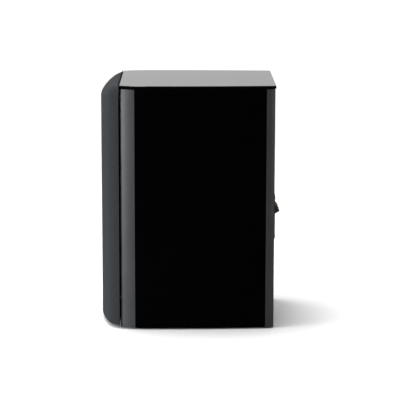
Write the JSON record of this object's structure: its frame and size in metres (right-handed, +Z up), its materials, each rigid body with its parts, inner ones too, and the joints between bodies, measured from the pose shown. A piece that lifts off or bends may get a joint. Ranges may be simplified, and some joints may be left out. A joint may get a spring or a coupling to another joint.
{
  "type": "bookshelf speaker",
  "caption": "Two-way reflex loudspeaker with a bowed grille, glossy sides, a glass top plate, a rear port and angled binding posts.",
  "frame": {"origin": "on the floor, at the middle of the overall width and depth", "axes": "+Z up, -Y towards the grille (front), +X to the right when looking from the front to the rear"},
  "size_m": [0.202, 0.2599, 0.35],
  "materials": {
    "satin_graphite_paint": "satin graphite paint on MDF",
    "gloss_black_lacquer": "high gloss black lacquer on MDF",
    "raw_mdf": "sealed MDF",
    "black_glass": "polished black glass",
    "black_spacer": "matt black foam board",
    "foot_rubber": "matt rubber",
    "damping_foam": "open cell acoustic foam",
    "grille_fabric": "woven charcoal speaker cloth",
    "grille_plastic": "moulded black ABS",
    "peg_nylon": "natural nylon",
    "socket_rubber": "black rubber",
    "gasket_foam": "closed cell foam",
    "cast_basket": "black powder coat",
    "trim_rubber": "satin moulded rubber",
    "surround_rubber": "butyl rubber",
    "cone_polymer": "mineral filled polypropylene",
    "cap_polymer": "smooth polypropylene",
    "former_foil": "foil",
    "copper_wire": "enamelled copper wire",
    "spider_cloth": "resin treated cotton",
    "plated_steel": "zinc plated steel",
    "ferrite": "sintered ferrite",
    "tag_brass": "tinned brass on fibre board",
    "black_screws": "black zinc steel",
    "faceplate_polymer": "satin moulded polymer",
    "dome_silk": "coated silk",
    "port_plastic": "moulded black ABS",
    "cup_plastic": "moulded black ABS",
    "gold_plate": "gold plated brass",
    "red_knob": "dark red polycarbonate",
    "smoke_knob": "smoke black polycarbonate",
    "circuit_board": "green solder resist",
    "standoff_nylon": "nylon",
    "capacitor_film": "polyester film wrap",
    "resistor_ceramic": "white ceramic",
    "lead_insulation": "PVC insulation"
  },
  "bodies": {
    "cabinet": {"front_baffle": "satin_graphite_paint", "rear_panel": "satin_graphite_paint", "left_side_panel": "gloss_black_lacquer", "right_side_panel": "gloss_black_lacquer", "bottom_panel": "raw_mdf", "top_panel": "raw_mdf", "shelf_brace": "raw_mdf", "top_plate": "black_glass", "plate_spacer": "black_spacer", "rubber_feet": "foot_rubber", "damping_foam": "damping_foam", "grille_sockets": "socket_rubber", "woofer_gasket": "gasket_foam", "tweeter_gasket": "gasket_foam", "cup_gasket": "gasket_foam", "woofer_basket": "cast_basket", "woofer_trim_ring": "trim_rubber", "woofer_surround": "surround_rubber", "crossover_coils": "copper_wire", "woofer_spider": "spider_cloth", "woofer_front_plate": "plated_steel", "woofer_pole_plate": "plated_steel", "tweeter_front_plate": "plated_steel", "tweeter_pole_plate": "plated_steel", "post_nuts": "plated_steel", "woofer_magnet": "ferrite", "tweeter_magnet": "ferrite", "coil_cores": "ferrite", "woofer_terminals": "tag_brass", "tweeter_terminals": "tag_brass", "solder_tags": "tag_brass", "woofer_screws": "black_screws", "tweeter_screws": "black_screws", "small_screws": "black_screws", "tweeter_faceplate": "faceplate_polymer", "tweeter_surround": "dome_silk", "port_tube": "port_plastic", "terminal_cup": "cup_plastic", "post_bushes": "cup_plastic", "post_stems": "gold_plate", "crossover_board": "circuit_board", "board_standoffs": "standoff_nylon", "capacitors": "capacitor_film", "resistors": "resistor_ceramic", "input_leads": "lead_insulation", "woofer_leads": "lead_insulation", "tweeter_leads": "lead_insulation"},
    "grille": {"grille_frame": "grille_plastic", "grille_cloth": "grille_fabric", "grille_pegs": "peg_nylon"},
    "woofer_cone_assembly": {"woofer_cone": "cone_polymer", "dust_cap": "cap_polymer", "voice_coil_former": "former_foil", "voice_coil_winding": "copper_wire"},
    "tweeter_dome_assembly": {"tweeter_dome": "dome_silk", "tweeter_coil": "copper_wire"},
    "washer_red": {"clamp_washer_red": "gold_plate"},
    "washer_black": {"clamp_washer_black": "gold_plate"},
    "knob_red": {"post_knob_red": "red_knob"},
    "knob_black": {"post_knob_black": "smoke_knob"}
  },
  "joints": [
    {"name": "grille_pull", "type": "slide", "parent": "cabinet", "child": "grille", "axis": [0, -1, 0], "range_m": [0, 0.06]},
    {"name": "woofer_stroke", "type": "slide", "parent": "cabinet", "child": "woofer_cone_assembly", "axis": [0, -1, 0], "range_m": [-0.004, 0.004], "stiffness_N_per_m": 1000, "deforming": ["woofer_surround", "woofer_spider"]},
    {"name": "tweeter_stroke", "type": "slide", "parent": "cabinet", "child": "tweeter_dome_assembly", "axis": [0, -1, 0], "range_m": [-0.0003, 0.0003], "stiffness_N_per_m": 1500, "deforming": ["tweeter_surround"]},
    {"name": "washer_slide_red", "type": "slide", "parent": "cabinet", "child": "washer_red", "axis": [0, 0.866, 0.5], "range_m": [0, 0.00375]},
    {"name": "knob_turn_red", "type": "hinge", "parent": "washer_red", "child": "knob_red", "pos_m": [-0.0095, 0.10806, 0.15193], "axis": [0, 0.866, 0.5], "range_deg": [0, 1800]},
    {"name": "washer_slide_black", "type": "slide", "parent": "cabinet", "child": "washer_black", "axis": [0, 0.866, 0.5], "range_m": [0, 0.00375]},
    {"name": "knob_turn_black", "type": "hinge", "parent": "washer_black", "child": "knob_black", "pos_m": [0.0095, 0.10806, 0.15193], "axis": [0, 0.866, 0.5], "range_deg": [0, 1800]}
  ],
  "couplings": [
    {"joint": "knob_turn_red", "follows": "washer_slide_red", "rad_per_m": 8377.6},
    {"joint": "knob_turn_black", "follows": "washer_slide_black", "rad_per_m": 8377.6}
  ]
}
